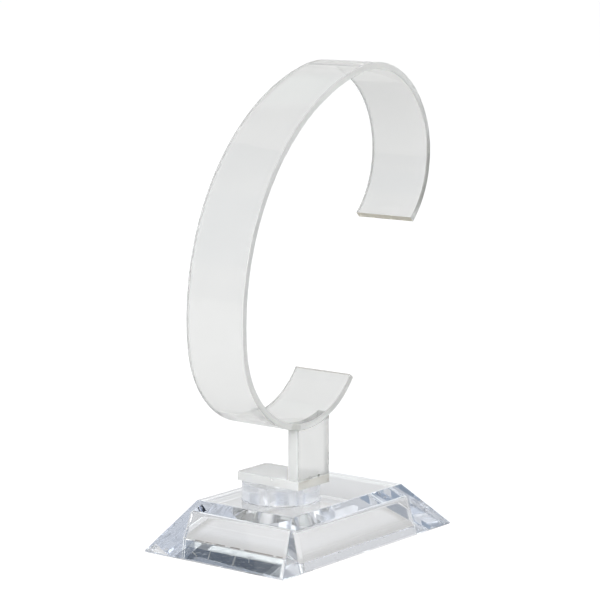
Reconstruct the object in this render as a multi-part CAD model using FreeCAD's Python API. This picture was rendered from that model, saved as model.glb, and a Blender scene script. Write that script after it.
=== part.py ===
import FreeCAD, Part
import math
import os

# Watch stand of clear plastic, in millimetres
# A C-shaped strip that holds a closed watch stands on a short post, a foot plate and a bevelled base.
# X runs along the base, Y across it, Z up. All sizes below are the real ones.

# Base block
base_length = 64.0
base_width = 40.0
base_height = 10.8
base_end_inset = 11.2
base_side_inset = 6.25
base_land_height = 0.3
base_edge_radius = 0.2

# Pocket moulded into the base from below; the base stands on the flat rim around it
rim_end_width = 9.8
rim_side_width = 4.7
ceiling_thickness = 3.1
pocket_draft_angle = 3.0
pocket_corner_radius = 1.3
pocket_ceiling_radius = 0.9
pocket_mouth_radius = 0.3

# Round collar on the base, and the bore that runs through it into the pocket
collar_diameter = 18.0
collar_height = 4.0
collar_margin = 4.5
collar_root_radius = 0.3
collar_rim_radius = 0.15
bore_diameter = 6.9

# Foot plate, cemented on the collar
foot_width = 11.5
foot_length = 18.2
foot_thickness = 2.0
foot_shift = -0.35
foot_corner_radius = 1.2

# Post, cemented on the foot plate with its outer face flush with the plate's end
post_thickness = 3.0
post_height = 11.7

# C-shaped strip: two round ends joined by a flatter side, all tangent, measured at mid-thickness
strip_width = 16.0
strip_thickness = 1.5
ring_end_radius = 21.4
ring_side_radius = 55.2
ring_side_angle = 83.6
ring_lower_angle = 138.0
ring_upper_angle = 149.0
ring_lean_angle = 54.6
ring_shift = -3.05

# Small chamfer on the cut edges of the sheet pieces
edge_break = 0.12

# How far two sizes may differ and still count as the same
tolerance = 1e-4


def vector(x, y, z):
    return FreeCAD.Vector(x, y, z)


def box(x_low, x_high, y_low, y_high, z_low, z_high):
    corner = vector(x_low, y_low, z_low)
    return Part.makeBox(x_high - x_low, y_high - y_low, z_high - z_low, corner)


def frustum(length, width, end_inset, side_inset, height):
    """A block on z = 0 with four sloping sides; the insets say how far its top stands in."""
    half_length = length / 2
    half_width = width / 2
    wedge = Part.makeWedge(
        -half_length, 0, -half_width, side_inset - half_width, end_inset - half_length,
        half_length, height, half_width, half_width - side_inset, half_length - end_inset)
    wedge.rotate(vector(0, 0, 0), vector(1, 0, 0), 90)
    return wedge


def raised(shape, height):
    shape.translate(vector(0, 0, height))
    return shape


def edges_where(shape, test):
    """The edges whose two ends both pass the test."""
    return [edge for edge in shape.Edges if all(test(vertex.Point) for vertex in edge.Vertexes)]


def is_upright(edge):
    start = edge.Vertexes[0].Point
    end = edge.Vertexes[-1].Point
    return abs(end.z - start.z) > edge.Length / 2


def direction(angle):
    """A unit vector in the plane of the C, its angle counted from +X towards +Z."""
    turn = math.radians(angle)
    return vector(math.cos(turn), 0, math.sin(turn))


# The collar's axis, placed from the near end of the base's top face
top_end = base_end_inset - base_length / 2
collar_shift = top_end + collar_margin + collar_diameter / 2

# Heights at which the pieces meet
collar_top = base_height + collar_height
foot_top = collar_top + foot_thickness
strip_bottom = foot_top + post_height

# Plane of the pieces' flush ends: foot plate, post and strip
flush_y = foot_shift - foot_length / 2


def edges_at_height(shape, height):
    return edges_where(shape, lambda point: abs(point.z - height) < tolerance)


def make_pocket():
    depth = base_height - ceiling_thickness
    draft = depth * math.tan(math.radians(pocket_draft_angle))
    length = base_length - 2 * rim_end_width
    width = base_width - 2 * rim_side_width
    pocket = frustum(length, width, draft, draft, depth)
    upright = [edge for edge in pocket.Edges if is_upright(edge)]
    pocket = pocket.makeFillet(pocket_corner_radius, upright)
    return pocket.makeFillet(pocket_ceiling_radius, edges_at_height(pocket, depth))


def make_block():
    """The bevelled block on a low upright land all round its foot."""
    land = box(-base_length / 2, base_length / 2, -base_width / 2, base_width / 2, 0, base_land_height)
    bevelled = frustum(base_length, base_width, base_end_inset, base_side_inset, base_height - base_land_height)
    return land.fuse(raised(bevelled, base_land_height)).removeSplitter()


def make_base():
    block = make_block()
    upper_and_sloping = [edge for edge in block.Edges if edge.BoundBox.ZMax > base_height / 2]
    block = block.makeFillet(base_edge_radius, upper_and_sloping)
    collar_foot = vector(collar_shift, 0, base_height)
    collar = Part.makeCylinder(collar_diameter / 2, collar_height, collar_foot)
    collar_rim = [edge for edge in edges_at_height(collar, collar_top) if edge.Length > collar_diameter]
    collar = collar.makeFillet(collar_rim_radius, collar_rim)
    base = block.fuse(collar)
    root = [edge for edge in base.Edges if is_root(edge)]
    base = base.makeFillet(collar_root_radius, root)
    bore = Part.makeCylinder(bore_diameter / 2, collar_top, vector(collar_shift, 0, 0))
    base = base.cut(make_pocket()).cut(bore)
    mouth = [edge for edge in edges_at_height(base, 0) if is_inside_foot(edge)]
    return base.makeFillet(pocket_mouth_radius, mouth)


def is_inside_foot(edge):
    """An edge of the pocket's mouth, away from the base's outer edge."""
    return max(abs(vertex.Point.x) for vertex in edge.Vertexes) < base_length / 2 - rim_end_width / 2


def is_root(edge):
    """The circle where the collar meets the base's top face."""
    box_of_edge = edge.BoundBox
    is_flat = box_of_edge.ZLength < tolerance and abs(box_of_edge.ZMin - base_height) < tolerance
    return is_flat and abs(edge.Length - math.pi * collar_diameter) < tolerance


def make_foot_plate():
    half_width = foot_width / 2
    plate = box(collar_shift - half_width, collar_shift + half_width,
                flush_y, flush_y + foot_length, collar_top, foot_top)
    far_corners = [edge for edge in edges_where(plate, lambda point: point.y > flush_y + foot_length / 2)
                   if is_upright(edge)]
    plate = plate.makeFillet(foot_corner_radius, far_corners)
    return plate.makeChamfer(edge_break, edges_at_height(plate, foot_top))


# Centres of the C's three arcs; the lower one stands over the strip's lowest point
side_normal = ring_lean_angle + 90
lower_joint = side_normal + ring_side_angle / 2
upper_joint = side_normal - ring_side_angle / 2
lower_centre = vector(collar_shift + ring_shift, 0, strip_bottom + strip_thickness / 2 + ring_end_radius)
side_centre = lower_centre - direction(lower_joint) * (ring_side_radius - ring_end_radius)
upper_centre = side_centre + direction(upper_joint) * (ring_side_radius - ring_end_radius)


def arc(centre, radius, start_angle, end_angle):
    """A circular edge in the plane of the C."""
    middle_angle = (start_angle + end_angle) / 2
    points = [centre + direction(angle) * radius for angle in (start_angle, middle_angle, end_angle)]
    return Part.Arc(*points).toShape()


def c_outline(offset):
    """The C's three arcs at a distance from mid-thickness, from the lower end to the upper end."""
    end_radius = ring_end_radius + offset
    side_radius = ring_side_radius + offset
    lower_end = lower_joint + ring_lower_angle
    upper_end = upper_joint - ring_upper_angle
    return [
        arc(lower_centre, end_radius, lower_end, lower_joint),
        arc(side_centre, side_radius, lower_joint, upper_joint),
        arc(upper_centre, end_radius, upper_joint, upper_end),
    ]


def make_c_ring():
    outer = c_outline(strip_thickness / 2)
    inner = c_outline(-strip_thickness / 2)
    lower_cut = Part.makeLine(inner[0].Vertexes[0].Point, outer[0].Vertexes[0].Point)
    upper_cut = Part.makeLine(outer[-1].Vertexes[-1].Point, inner[-1].Vertexes[-1].Point)
    outline = Part.Wire(Part.__sortEdges__(outer + [upper_cut] + inner + [lower_cut]))
    profile = Part.Face(outline)
    profile.translate(vector(0, flush_y, 0))
    strip = profile.extrude(vector(0, strip_width, 0))
    return strip.makeChamfer(edge_break, long_edges(strip))


def long_edges(strip):
    """The edges that run along the strip's two sides, and the two cut lines of each end."""
    return [edge for edge in strip.Edges if edge.BoundBox.YLength < tolerance]


def make_post():
    half_width = foot_width / 2
    post = box(collar_shift - half_width, collar_shift + half_width,
               flush_y, flush_y + post_thickness, foot_top, lower_centre.z)
    upright = [edge for edge in post.Edges if is_upright(edge)]
    post = post.makeChamfer(edge_break, upright + edges_at_height(post, foot_top))
    axis_start = vector(lower_centre.x, flush_y, lower_centre.z)
    seat_radius = ring_end_radius + strip_thickness / 2
    seat = Part.makeCylinder(seat_radius, strip_width, axis_start, vector(0, 1, 0))
    return post.cut(seat)


os.makedirs("parts", exist_ok=True)
pieces = {
    "base": make_base(),
    "foot_plate": make_foot_plate(),
    "post": make_post(),
    "c_ring": make_c_ring(),
}

# The origin is the bottom centre of the whole stand
whole = Part.makeCompound(list(pieces.values())).optimalBoundingBox(False, False)
origin_shift = vector(-whole.Center.x, -whole.Center.y, -whole.ZMin)
print("moved by", origin_shift, "overall size", whole.XLength, whole.YLength, whole.ZLength)
for name, shape in pieces.items():
    shape.translate(origin_shift)
    solid = shape.Solids[0]
    print(name, "solids", len(shape.Solids), "volume", round(shape.Volume, 2), "valid", shape.isValid())
    solid.exportStep(f"parts/{name}.step")
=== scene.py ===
import math

import bmesh
import bpy
from mathutils import Matrix, Vector


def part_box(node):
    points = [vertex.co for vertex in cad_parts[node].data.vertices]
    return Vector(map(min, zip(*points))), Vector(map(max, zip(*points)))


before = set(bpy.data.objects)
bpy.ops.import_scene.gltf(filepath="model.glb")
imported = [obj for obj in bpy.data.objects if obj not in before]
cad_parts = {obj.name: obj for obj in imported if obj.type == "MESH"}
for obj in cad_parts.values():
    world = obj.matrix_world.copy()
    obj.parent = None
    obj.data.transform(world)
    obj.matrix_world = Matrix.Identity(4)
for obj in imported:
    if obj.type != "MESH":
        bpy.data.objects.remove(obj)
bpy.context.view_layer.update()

MM = 0.001

# Camera: the picture is 600 x 600 pixels, the focal length is given in the same pixels
picture_side = 600
focal_length_px = 2468.4
sensor_width_mm = 36
view_azimuth = math.radians(-52.24)
view_elevation = math.radians(9.03)
view_distance = 0.5728
view_target = Vector((0.00415, 0.00540, 0.05433))

# Floor: its colour for bounced light and as seen, and its glow to the camera and through the plastic
floor_radius = 6.0
floor_segments = 96
floor_drop = 0.1 * MM
floor_roughness = 0.8
floor_colour = 0.8
floor_colour_seen = 0.3
glow_to_camera = 0.88
glow_through_plastic = 0.64

# Shadow where the stand touches the floor: how far it reaches, how strong it is on the whole floor,
# and how strong and how warm it is near the rim as seen through the plastic
contact_shadow_reach = 2.4 * MM
contact_shadow_strength = 0.12
rim_shadow_strength = 1.05
rim_shadow_tint = (1, 0.95, 0.84)
white = (1, 1, 1)

# Clear plastic of every piece, and the share of light that a cement film scatters
plastic_ior = 1.49
internal_bounces = 48
cement_haze = 0.08

# Clear sheet: its faces, rough sides, sawn ends and dark marks (old cement, and painted shade on the C). A
# pair holds two colours to drift between.
# The foot plate shows the saw and the roughness only in part.
sheet_colours = ((0.91, 0.915, 0.905), (0.94, 0.94, 0.93))
sawn_colours = ((0.66, 0.60, 0.46), (0.84, 0.80, 0.70))
rough_colour = (0.95, 0.955, 0.945)
dark_colour = (0.30, 0.30, 0.26)
sheet_roughness = 0.04
sawn_roughness = 0.35
smeared_roughness = 0.06
sawn_clearness = 0.55
rough_clearness_share = 0.75
sheet_tint = (0.72, 0.74, 0.62)
sheet_tint_density = 14
plate_saw_share = 0.5
plate_roughness_share = 0.6

# Clear moulded plastic of the base
moulded_colours = ((0.975, 0.98, 0.985), (0.99, 0.992, 0.995))
moulded_smeared_roughness = 0.04
collar_roughness = 0.2
bore_roughness = 0.02
worn_roughness = 0.5
moulded_tint = (0.55, 0.68, 0.90)
moulded_tint_density = 6

# Places of the pieces, from the frame
plate_low, plate_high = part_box("foot_plate")
post_low, post_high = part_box("post")
ring_low, ring_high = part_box("c_ring")
collar_x = (plate_low[0] + plate_high[0]) / 2
ring_middle_z = (ring_low[2] + ring_high[2]) / 2

# Sizes of the base's collar and bore; the collar's dull surface starts above its root
collar_radius = 9.0 * MM
collar_foot = 10.8 * MM
collar_root_height = 0.4 * MM
collar_margin = 0.1 * MM
bore_radius = 3.45 * MM

# Chamfer on the cut edges of the sheet pieces
edge_break = 0.12 * MM

# How far a point may lie off a joint, or off a plain face, and still count as on it
joint_slack = 0.05 * MM
face_slack = 0.02 * MM

# Parts of a unit normal along an axis: past the first the face is a chamfer at least,
# and past the second it faces that way squarely
chamfer_normal = 0.3
square_normal = 0.9

# Underside of the end rim towards -X: a painted dark reflection on its outer part, painted pale light on
# its inner part and a painted dark orange line of shade at the pocket's mouth, all between two places in
# Y. The other rim has a little painted shade far out.
dark_reflection_edge = -28.2 * MM
dark_reflection_fade = 0.1 * MM
painted_rim_ends = (-13.9 * MM, 11.4 * MM)
dark_reflection_strength = 0.39
dark_reflection_colour = (0.05, 0.08, 0.14)
far_rim_shade_edge = 27.4 * MM
far_rim_shade_strength = 0.12
pale_light_edge = -24.9 * MM
pale_light_strength = 0.25
pale_light_colour = (0.86, 0.86, 0.82)
mouth_shade_height = 0.3 * MM
mouth_shade_width = 1.0 * MM
mouth_shade_strength = 0.6
mouth_shade_colour = (0.16, 0.09, 0.05)

# Scratches and streaks through that painted dark reflection, which show the painted pale light, and how
# strongly they show. Each scratch says where it starts and ends, and half its width, in millimetres.
pale_scratch_strength = 0.5
streak_share = 0.35
scratch_core_share = 0.4
scratches = (
    ((-28.5, 4.5, 0), (-31.9, 2.9, 0), 0.20),
    ((-28.5, -2.7, 0), (-32.6, -4.6, 0), 0.28),
    ((-28.3, -6.5, 0), (-29.9, -7.5, 0), 0.14),
    ((-30.2, 8.6, 0), (-31.8, 6.4, 0), 0.22),
    ((-29.6, 6.6, 0), (-30.8, 7.6, 0), 0.18),
)

# Spots of old cement on the post, the foot plate and the strip: where and how large, in millimetres,
# and how strong
spot_unevenness = 0.8 * MM
spot_core_share = 0.5
cement_spots = (
    ((-15.6, -7.9, 28.6), 1.1, 0.25),
    ((-17.0, -9.4, 29.6), 1.5, 0.40),
    ((-15.6, -9.4, 29.2), 1.2, 0.35),
    ((-4.3, -9.4, 29.9), 0.6, 0.8),
    ((-4.2, -9.4, 21.4), 0.5, 0.6),
    ((-4.2, -9.4, 20.2), 0.5, 0.7),
    ((-4.2, -9.4, 19.1), 0.5, 0.6),
    ((-8.1, -9.4, 17.0), 0.6, 0.75),
    ((-13.2, -9.4, 16.7), 0.5, 0.4),
    ((-12.4, -9.4, 16.7), 0.5, 0.5),
    ((-11.6, -9.4, 16.8), 0.5, 0.5),
    ((-10.8, -9.4, 16.8), 0.5, 0.4),
    ((-4.6, -9.4, 15.4), 0.6, 0.4),
)

# The C's two end arcs, whose axes run along Y, and the angles of its two sawn ends, as in the solids
ring_end_radius = 21.4 * MM
ring_thickness = 1.5 * MM
lower_centre = Vector((-12.945 * MM, 0, 50.65 * MM))
upper_centre = Vector((13.156 * MM, 0, 87.38 * MM))
lower_end_angle = math.radians(324.4)
upper_end_angle = math.radians(-46.2)

# Painted shade on the C's near side, where it is darkest: on its free arm, between two heights, fading in
# from each of them
shaded_side_from_x = 25 * MM
shaded_side_heights = (72 * MM, 93 * MM)
shaded_side_fades = (4 * MM, 6 * MM)
shaded_side_strength = 0.6

# Studio round the stand: a pale wall, a dark ceiling, and soft round areas that are darker or brighter.
# The ceiling starts where a direction's height plus a small share of its X passes a given sum.
# Each area says the azimuth and elevation of its middle, the radius of its even part and of its soft rim,
# in degrees, its colour, and the share of it that a purely mirrored ray sees.
wall_colour = (0.68, 0.69, 0.71)
ceiling_colour = (0.012, 0.017, 0.026)
mirrored_ceiling_colour = (1.1, 1.1, 1.1)
ceiling_tilt = 0.039
ceiling_start = 0.7583
ceiling_full = 0.7593
studio_areas = (
    (38, 0, 30, 48, (0.85, 0.85, 0.85), 1.0),
    (66, 40, 12, 18, (1.36, 1.42, 1.40), 0.55),
    (24, 44, 9, 15, (1.9, 1.9, 1.92), 0.45),
    (-62, 22, 8, 13, (1.1, 1.1, 1.15), 1.0),
    (150, 4, 6, 12, (0.42, 0.45, 0.50), 1.0),
    (130, 24, 11, 18, (0.31, 0.37, 0.45), 1.0),
    (104, 36, 13, 19, (0.36, 0.39, 0.44), 1.0),
    (14, 3, 7, 11, (0.26, 0.30, 0.36), 1.0),
)


class Graph:
    """A short way to build the nodes of one material or of the world."""

    def __init__(self, tree):
        self.tree = tree

    def node(self, kind, settings=None, **inputs):
        node = self.tree.nodes.new(kind)
        for name, value in (settings or {}).items():
            setattr(node, name, value)
        for name, value in inputs.items():
            self.put(node.inputs[name.replace("_", " ")], value)
        return node

    def put(self, socket, value):
        """Links a socket, or sets a plain value."""
        if isinstance(value, bpy.types.NodeSocket):
            self.tree.links.new(value, socket)
        else:
            socket.default_value = value

    def put_in_order(self, node, values):
        """Fills a node's first sockets."""
        for socket, value in zip(node.inputs, values):
            self.put(socket, value)
        return node

    def math(self, operation, *values):
        node = self.node("ShaderNodeMath", {"operation": operation})
        return self.put_in_order(node, values).outputs[0]

    def vector_math(self, operation, *vectors):
        """Its two outputs are called Vector and Value."""
        node = self.node("ShaderNodeVectorMath", {"operation": operation})
        return self.put_in_order(node, vectors).outputs

    def scaled(self, vector, factor):
        node = self.node("ShaderNodeVectorMath", {"operation": "SCALE"}, Vector=vector, Scale=factor)
        return node.outputs["Vector"]

    def product(self, *values):
        result = values[0]
        for value in values[1:]:
            result = self.math("MULTIPLY", result, value)
        return result

    def largest(self, *values):
        result = values[0]
        for value in values[1:]:
            result = self.math("MAXIMUM", result, value)
        return result

    def distance(self, *offsets):
        """Square root of the sum of squares."""
        total = self.product(offsets[0], offsets[0])
        for offset in offsets[1:]:
            total = self.math("ADD", total, self.product(offset, offset))
        return self.math("SQRT", total)

    def between(self, value, low, high):
        above = self.math("GREATER_THAN", value, low)
        return self.product(above, self.math("LESS_THAN", value, high))

    def ramp(self, value, start, end, low=0.0, high=1.0):
        """Goes smoothly from low to high while the value goes from start to end."""
        node = self.node("ShaderNodeMapRange", {"interpolation_type": "SMOOTHSTEP"})
        return self.put_in_order(node, (value, start, end, low, high)).outputs[0]

    def clamped(self, value):
        """Keeps a value between 0 and 1."""
        return self.math("MINIMUM", self.math("MAXIMUM", value, 0.0), 1.0)

    def blend(self, factor, first, second):
        """Mixes two colours."""
        node = self.node("ShaderNodeMix", {"data_type": "RGBA"})
        factor_socket, first_socket, second_socket, result_socket = 0, 6, 7, 2
        self.put(node.inputs[factor_socket], factor)
        for index, colour in ((first_socket, first), (second_socket, second)):
            is_linked = isinstance(colour, bpy.types.NodeSocket)
            self.put(node.inputs[index], colour if is_linked else (*colour, 1))
        return node.outputs[result_socket]

    def noise(self, vector, scale, detail, distortion=0.0):
        node = self.node("ShaderNodeTexNoise", Vector=vector,
                         Scale=scale, Detail=detail, Distortion=distortion)
        return node.outputs["Fac"]

    def patches(self, vector, scale, detail, start, end, distortion=0.0):
        """Soft patches, where a noise rises from one of its levels to another."""
        return self.ramp(self.noise(vector, scale, detail, distortion), start, end)

    def stretched(self, vector, factors, turn=(0, 0, 0)):
        node = self.node("ShaderNodeMapping", Vector=vector, Scale=factors, Rotation=turn)
        return node.outputs[0]

    def parts(self, vector):
        return self.node("ShaderNodeSeparateXYZ", Vector=vector).outputs

    def mix_shaders(self, factor, first, second):
        return self.put_in_order(self.node("ShaderNodeMixShader"), (factor, first, second)).outputs[0]

    def diffuse(self, colour):
        return self.node("ShaderNodeBsdfDiffuse", Color=(*colour, 1)).outputs[0]


def new_graph(name):
    material = bpy.data.materials.new(name)
    material.use_nodes = True
    return material, Graph(material.node_tree)


def joint_mask(graph, place):
    """1 on the faces that are cemented to each other, where light passes from piece to piece."""
    x, y, z = graph.parts(place)

    def near(value, level):
        return graph.between(value, level - joint_slack, level + joint_slack)

    def within(low, high, margin):
        in_x = graph.between(x, low[0] + margin, high[0] - margin)
        in_y = graph.between(y, low[1] + margin, high[1] - margin)
        return graph.product(in_x, in_y)

    from_collar_axis = graph.distance(graph.math("SUBTRACT", x, collar_x), y)
    on_collar = graph.between(from_collar_axis, bore_radius, collar_radius)
    collar_joint = graph.product(near(z, plate_low[2]), within(plate_low, plate_high, 0.0), on_collar)
    in_post = within(post_low, post_high, edge_break)
    post_joint = graph.product(near(z, plate_high[2]), in_post)
    ring_offset_x = graph.math("SUBTRACT", x, lower_centre.x)
    ring_offset_z = graph.math("SUBTRACT", z, lower_centre.z)
    from_ring_axis = graph.distance(ring_offset_x, ring_offset_z)
    below_ring_axis = graph.math("LESS_THAN", z, lower_centre.z)
    on_ring = near(from_ring_axis, ring_end_radius + ring_thickness / 2)
    ring_joint = graph.product(on_ring, in_post, below_ring_axis)
    return graph.largest(collar_joint, post_joint, ring_joint)


def clear_shader(graph, colour, roughness, normal, clearness=1.0):
    shader = graph.tree.nodes["Principled BSDF"]
    shader.inputs["IOR"].default_value = plastic_ior
    graph.put(shader.inputs["Transmission Weight"], clearness)
    graph.put(shader.inputs["Base Color"], colour)
    graph.put(shader.inputs["Roughness"], roughness)
    graph.put(shader.inputs["Normal"], normal)
    return shader.outputs[0]


def join_cement(graph, surface, place):
    """Lets light through the cemented faces, a little milky."""
    clear = graph.node("ShaderNodeBsdfTransparent").outputs[0]
    haze = graph.node("ShaderNodeBsdfTranslucent").outputs[0]
    film_and_pale_light = graph.mix_shaders(cement_haze, clear, haze)
    whole = graph.mix_shaders(joint_mask(graph, place), surface, film_and_pale_light)
    graph.put(graph.tree.nodes["Material Output"].inputs["Surface"], whole)


def tint_inside(graph, colour, density):
    volume = graph.node("ShaderNodeVolumeAbsorption", Color=(*colour, 1), Density=density)
    graph.put(graph.tree.nodes["Material Output"].inputs["Volume"], volume.outputs[0])


def spots_mask(graph, place):
    """The soft uneven spots of old cement."""
    noise = graph.noise(place, scale=900, detail=3)
    uneven = graph.product(graph.math("SUBTRACT", noise, 0.5), spot_unevenness)
    masks = []
    for spot, radius, strength in cement_spots:
        away = graph.vector_math("DISTANCE", place, Vector(spot) * MM)["Value"]
        reach = graph.math("ADD", away, uneven)
        soft = graph.ramp(reach, radius * MM, radius * spot_core_share * MM)
        masks.append(graph.product(soft, strength))
    return graph.largest(*masks)


def scratches_mask(graph, place):
    """The narrow straight scratches through the painted dark reflection, where the painted pale light
    shows.
    """
    masks = []
    for start, end, half_width in scratches:
        origin = Vector(start) * MM
        way = Vector(end) * MM - origin
        offset = graph.vector_math("SUBTRACT", place, origin)["Vector"]
        along = graph.vector_math("DOT_PRODUCT", offset, way)["Value"]
        share = graph.clamped(graph.math("DIVIDE", along, way.length_squared))
        off_line = graph.vector_math("DISTANCE", offset, graph.scaled(way, share))["Value"]
        masks.append(graph.ramp(off_line, half_width * MM, half_width * scratch_core_share * MM))
    return graph.largest(*masks)


def sheet_material(name, clearness, tone, marks):
    """Clear sheet, a little milky; the function marks gives masks of its sawn, rough and dark faces."""
    material, graph = new_graph(name)
    geometry = graph.node("ShaderNodeNewGeometry")
    place = geometry.outputs["Position"]
    sawn, rough, dark = marks(graph, place, geometry.outputs["True Normal"])
    cloud = graph.noise(place, scale=90, detail=3)
    saw_lines = graph.noise(graph.stretched(place, (1, 0.1, 1), (0, 0.2, 0.1)), scale=4000, detail=2)
    first_colour, second_colour = [[tone * part for part in colour] for colour in sheet_colours]
    colour = graph.blend(cloud, first_colour, second_colour)
    colour = graph.blend(rough, colour, rough_colour)
    colour = graph.blend(dark, colour, dark_colour)
    colour = graph.blend(sawn, colour, graph.blend(saw_lines, *sawn_colours))
    smear = graph.patches(graph.stretched(place, (1, 0.3, 1)),
                          scale=260, detail=5, distortion=0.6, start=0.56, end=0.78)
    worked = graph.ramp(graph.largest(sawn, rough), 0, 1, sheet_roughness, sawn_roughness)
    roughness = graph.math("ADD", graph.product(smear, smeared_roughness), worked)
    waves = graph.noise(place, scale=60, detail=1)
    relief = graph.math("ADD", waves, graph.product(sawn, saw_lines))
    bump = graph.node("ShaderNodeBump", Strength=0.25, Distance=0.05 * MM, Height=relief)
    clear = graph.ramp(rough, 0, 1, clearness, clearness * rough_clearness_share)
    clear = graph.ramp(sawn, 0, 1, clear, sawn_clearness)
    surface = clear_shader(graph, colour, roughness, bump.outputs[0], clear)
    join_cement(graph, surface, place)
    tint_inside(graph, sheet_tint, sheet_tint_density)
    return material


def plate_marks(graph, place, normal):
    """The foot plate's sides are rougher than its faces, and its near end still shows the saw a little."""
    _, across, upward = graph.parts(normal)
    sides = graph.math("LESS_THAN", graph.math("ABSOLUTE", upward), square_normal)
    near_end = graph.math("LESS_THAN", across, -square_normal)
    sawn = graph.product(near_end, plate_saw_share)
    rough = graph.product(sides, plate_roughness_share)
    return sawn, rough, spots_mask(graph, place)


def post_marks(graph, place, normal):
    """The post's two narrow sides are rougher than its faces, and none is sawn."""
    lengthways, _, _ = graph.parts(normal)
    sides = graph.math("GREATER_THAN", graph.math("ABSOLUTE", lengthways), square_normal)
    return 0.0, sides, spots_mask(graph, place)


def ring_marks(graph, place, normal):
    """The C's sawn ends, its rougher long sides, and its dark marks: spots of old cement, and painted
    shade on the far inner chamfer and on a stretch of the near side.
    """
    x, _, z = graph.parts(place)
    lengthways, across, upward = graph.parts(normal)
    rough = graph.math("GREATER_THAN", graph.math("ABSOLUTE", across), chamfer_normal)
    above_middle = graph.math("SUBTRACT", z, ring_middle_z)
    outward = graph.math("ADD", graph.product(x, lengthways), graph.product(above_middle, upward))
    faces_inward = graph.math("LESS_THAN", outward, 0.0)
    # Painted shade: a dark line on the far inner chamfer
    far_chamfer = graph.product(graph.between(across, chamfer_normal, square_normal), faces_inward)
    # Painted shade on a stretch of the near side of the free arm
    near_side = graph.math("LESS_THAN", across, -chamfer_normal)
    on_free_arm = graph.math("GREATER_THAN", x, shaded_side_from_x)
    low, high = shaded_side_heights
    low_fade, high_fade = shaded_side_fades
    stretch = graph.product(graph.ramp(z, low, low + low_fade), graph.ramp(z, high, high - high_fade))
    shaded_side = graph.product(near_side, on_free_arm, stretch, shaded_side_strength)
    dark = graph.largest(far_chamfer, shaded_side, spots_mask(graph, place))
    return ring_end_mask(graph, x, z), rough, dark


def ring_end_mask(graph, x, z):
    """1 on the C's two sawn ends, each a plane through the axis of its arc."""
    masks = []
    for centre, angle in ((lower_centre, lower_end_angle), (upper_centre, upper_end_angle)):
        cosine = math.cos(angle)
        sine = math.sin(angle)
        offset_x = graph.math("SUBTRACT", x, centre.x)
        offset_z = graph.math("SUBTRACT", z, centre.z)
        off_plane = graph.math("ADD", graph.product(offset_x, -sine), graph.product(offset_z, cosine))
        outward = graph.math("ADD", graph.product(offset_x, cosine), graph.product(offset_z, sine))
        on_plane = graph.between(off_plane, -face_slack, face_slack)
        masks.append(graph.product(on_plane, graph.math("GREATER_THAN", outward, 0.0)))
    return graph.largest(*masks)


def moulded_material():
    """Clear moulded plastic with a faint blue tint, a dull collar, a scuffed underside, and painted
    reflection, light and shade under its end rims.
    """
    material, graph = new_graph("moulded_clear")
    place = graph.node("ShaderNodeNewGeometry").outputs["Position"]
    colour = graph.blend(graph.noise(place, scale=70, detail=2), *moulded_colours)
    roughness = moulded_roughness(graph, place)
    waves = graph.noise(place, scale=150, detail=1)
    bump = graph.node("ShaderNodeBump", Strength=0.04, Distance=0.02 * MM, Height=waves)
    surface = clear_shader(graph, colour, roughness, bump.outputs[0])
    join_cement(graph, paint_rim_light_and_shade(graph, place, surface), place)
    tint_inside(graph, moulded_tint, moulded_tint_density)
    return material


def moulded_roughness(graph, place):
    """Rough on the collar's side and where the underside is worn, otherwise polished with a few smears."""
    x, y, z = graph.parts(place)
    smear = graph.patches(place, scale=220, detail=4, distortion=0.5, start=0.6, end=0.8)
    smeared = graph.ramp(smear, 0, 1, 0, moulded_smeared_roughness)
    from_axis = graph.distance(graph.math("SUBTRACT", x, collar_x), y)
    by_collar = graph.math("LESS_THAN", from_axis, collar_radius + collar_margin)
    above_root = graph.math("GREATER_THAN", z, collar_foot + collar_root_height)
    collar_side = graph.product(by_collar, above_root)
    bore_wall = graph.math("LESS_THAN", from_axis, bore_radius + face_slack)
    underside = graph.math("LESS_THAN", z, face_slack)
    slanted = graph.stretched(place, (1, 0.06, 1), (0, 0, 0.5))
    scuff_lines = graph.patches(slanted, scale=1500, detail=2, distortion=0.4, start=0.66, end=0.70)
    scuff_places = graph.patches(place, scale=180, detail=2, start=0.45, end=0.6)
    specks = graph.patches(place, scale=420, detail=5, start=0.62, end=0.7)
    worn = graph.product(underside, graph.largest(graph.product(scuff_lines, scuff_places), specks))
    return graph.largest(smeared, graph.product(collar_side, collar_roughness),
                         graph.product(bore_wall, bore_roughness), graph.product(worn, worn_roughness))


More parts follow.
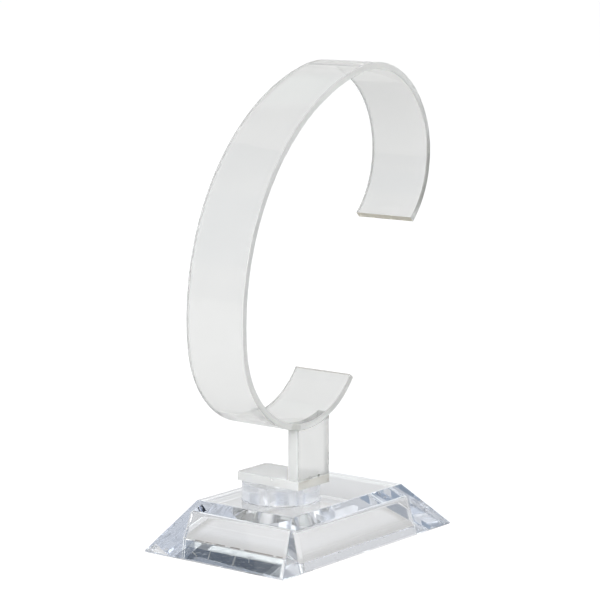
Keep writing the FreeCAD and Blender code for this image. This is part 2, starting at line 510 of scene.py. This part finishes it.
def paint_rim_light_and_shade(graph, place, surface):
    """Painted dark reflection and painted pale light on the undersides of the end rims, painted shade far
    out on the other rim, and a painted dark orange line of shade at the pocket's mouth.
    """
    x, y, z = graph.parts(place)
    underside = graph.math("LESS_THAN", z, face_slack)
    along = graph.between(y, *painted_rim_ends)
    painted_band = graph.product(along, underside)
    # Painted dark reflection on the outer part of the rim's underside
    outer = graph.product(painted_band, graph.ramp(x, dark_reflection_edge + dark_reflection_fade, dark_reflection_edge - dark_reflection_fade))
    # Painted pale light on the inner part of the rim's underside
    inner = graph.product(painted_band, graph.between(x, dark_reflection_edge, pale_light_edge))
    # Painted shade far out on the underside of the other rim
    far = graph.product(underside, graph.math("GREATER_THAN", x, far_rim_shade_edge))
    # Scratches and streaks where the painted pale light shows through the painted dark reflection
    slanted = graph.stretched(place, (1, 0.3, 1), (0, 0, 0.6))
    streaks = graph.patches(slanted, scale=1600, detail=4, distortion=0.5, start=0.55, end=0.7)
    pale_scratches = graph.largest(scratches_mask(graph, place), graph.product(streaks, streak_share))
    breaks = graph.patches(graph.stretched(place, (0.2, 1, 0.2)), scale=500, detail=2, start=0.40, end=0.5)
    # A painted dark orange line of shade at the pocket's mouth, broken in places
    at_height = graph.between(z, face_slack, mouth_shade_height)
    at_mouth = graph.between(x, pale_light_edge, pale_light_edge + mouth_shade_width)
    mouth_shade = graph.product(along, at_height, at_mouth, breaks, mouth_shade_strength)
    dark_reflection = graph.largest(graph.product(outer, dark_reflection_strength), graph.product(far, far_rim_shade_strength))
    film_and_pale_light = graph.largest(graph.product(inner, pale_light_strength), graph.product(outer, pale_scratches, pale_scratch_strength))
    for mask, colour in ((dark_reflection, dark_reflection_colour), (film_and_pale_light, pale_light_colour), (mouth_shade, mouth_shade_colour)):
        surface = graph.mix_shaders(mask, surface, graph.diffuse(colour))
    return surface


def dress_nodes():
    looks = {
        "base": moulded_material(),
        "foot_plate": sheet_material("plate_sheet", clearness=0.6, tone=1.0, marks=plate_marks),
        "post": sheet_material("post_sheet", clearness=0.72, tone=1.0, marks=post_marks),
        "c_ring": sheet_material("ring_sheet", clearness=0.87, tone=0.975, marks=ring_marks),
    }
    for name, material in looks.items():
        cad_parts[name].material_slots[0].material = material


def dress_floor(graph):
    """White to the camera, a little less as seen in or through the plastic, with a contact shadow."""
    shader = graph.tree.nodes["Principled BSDF"]
    path = graph.node("ShaderNodeLightPath").outputs
    through = graph.largest(path["Is Glossy Ray"], path["Is Transmission Ray"])
    seen = graph.largest(path["Is Camera Ray"], through)
    grey = graph.ramp(seen, 0, 1, floor_colour, floor_colour_seen)
    colour = graph.node("ShaderNodeCombineColor", Red=grey, Green=grey, Blue=grey).outputs[0]
    open_sky = graph.node("ShaderNodeAmbientOcclusion", Distance=contact_shadow_reach).outputs["AO"]
    hidden = graph.math("SUBTRACT", 1.0, open_sky)
    rim_shadow = graph.product(open_sky, hidden, rim_shadow_strength)
    lit = graph.math("SUBTRACT", 1.0, graph.product(hidden, contact_shadow_strength))
    lit = graph.math("SUBTRACT", lit, graph.product(rim_shadow, through))
    glow = graph.largest(graph.product(path["Is Camera Ray"], glow_to_camera),
                         graph.product(through, glow_through_plastic))
    shader.inputs["Roughness"].default_value = floor_roughness
    shader.inputs["Specular IOR Level"].default_value = 0
    graph.put(shader.inputs["Base Color"], colour)
    graph.put(shader.inputs["Emission Color"], graph.blend(rim_shadow, white, rim_shadow_tint))
    graph.put(shader.inputs["Emission Strength"], graph.product(glow, lit))


def add_floor():
    mesh = bpy.data.meshes.new("floor")
    shape = bmesh.new()
    bmesh.ops.create_circle(shape, cap_ends=True, segments=floor_segments, radius=floor_radius)
    shape.to_mesh(mesh)
    shape.free()
    floor = bpy.data.objects.new("floor", mesh)
    floor.location.z = -floor_drop
    bpy.context.scene.collection.objects.link(floor)
    material, graph = new_graph("floor")
    dress_floor(graph)
    mesh.materials.append(material)


def direction(azimuth, elevation):
    """A unit vector, its azimuth counted from +X towards +Y, in degrees."""
    turn = math.radians(azimuth)
    lift = math.radians(elevation)
    return Vector((math.cos(turn) * math.cos(lift), math.sin(turn) * math.cos(lift), math.sin(lift)))


def add_studio():
    """The world: what the plastic shows and the light that it gives; it is white to the camera."""
    world = bpy.data.worlds.new("studio")
    world.use_nodes = True
    bpy.context.scene.world = world
    graph = Graph(world.node_tree)
    outlook = graph.node("ShaderNodeTexCoord").outputs["Generated"]
    way = graph.vector_math("NORMALIZE", outlook)["Vector"]
    path = graph.node("ShaderNodeLightPath").outputs
    not_through = graph.math("SUBTRACT", 1.0, path["Is Transmission Ray"])
    mirrored = graph.product(path["Is Glossy Ray"], not_through)
    colour = wall_colour
    for azimuth, elevation, inner, outer, area_colour, mirrored_share in studio_areas:
        aim = graph.vector_math("DOT_PRODUCT", way, direction(azimuth, elevation))["Value"]
        inside = graph.ramp(aim, math.cos(math.radians(outer)), math.cos(math.radians(inner)))
        mirrored_colour = [part * mirrored_share for part in area_colour]
        colour = graph.blend(inside, colour, graph.blend(mirrored, area_colour, mirrored_colour))
    lengthways, _, height = graph.parts(way)
    tilted_height = graph.math("ADD", height, graph.product(lengthways, ceiling_tilt))
    in_ceiling = graph.ramp(tilted_height, ceiling_start, ceiling_full)
    ceiling = graph.blend(mirrored, ceiling_colour, mirrored_ceiling_colour)
    colour = graph.blend(in_ceiling, colour, ceiling)
    colour = graph.blend(path["Is Camera Ray"], colour, white)
    graph.put(graph.tree.nodes["Background"].inputs["Color"], colour)


def add_softbox(name, azimuth, elevation, distance, side, power):
    data = bpy.data.lights.new(name, "AREA")
    data.size = side
    data.energy = power
    lamp = bpy.data.objects.new(name, data)
    way = direction(azimuth, elevation)
    lamp.location = view_target + way * distance
    lamp.rotation_euler = way.to_track_quat("Z", "Y").to_euler()
    bpy.context.scene.collection.objects.link(lamp)


def add_camera():
    data = bpy.data.cameras.new("camera")
    data.sensor_width = sensor_width_mm
    data.lens = focal_length_px / picture_side * sensor_width_mm
    camera = bpy.data.objects.new("camera", data)
    bpy.context.scene.collection.objects.link(camera)
    back = Vector((math.sin(view_azimuth) * math.cos(view_elevation),
                   -math.cos(view_azimuth) * math.cos(view_elevation),
                   math.sin(view_elevation)))
    right = Vector((math.cos(view_azimuth), math.sin(view_azimuth), 0))
    up = back.cross(right)
    camera.matrix_world = Matrix((right, up, back)).transposed().to_4x4()
    camera.location = view_target + back * view_distance
    bpy.context.scene.camera = camera


def set_bounces():
    """Light is turned back many times inside clear plastic before it leaves it."""
    cycles = bpy.context.scene.cycles
    cycles.max_bounces = internal_bounces
    cycles.glossy_bounces = internal_bounces
    cycles.transmission_bounces = internal_bounces
    cycles.transparent_max_bounces = internal_bounces


dress_nodes()
add_floor()
add_studio()
add_softbox("key", azimuth=-160, elevation=40, distance=1.2, side=1.4, power=18)
add_camera()
set_bounces()
bpy.context.scene.view_settings.view_transform = "Standard"
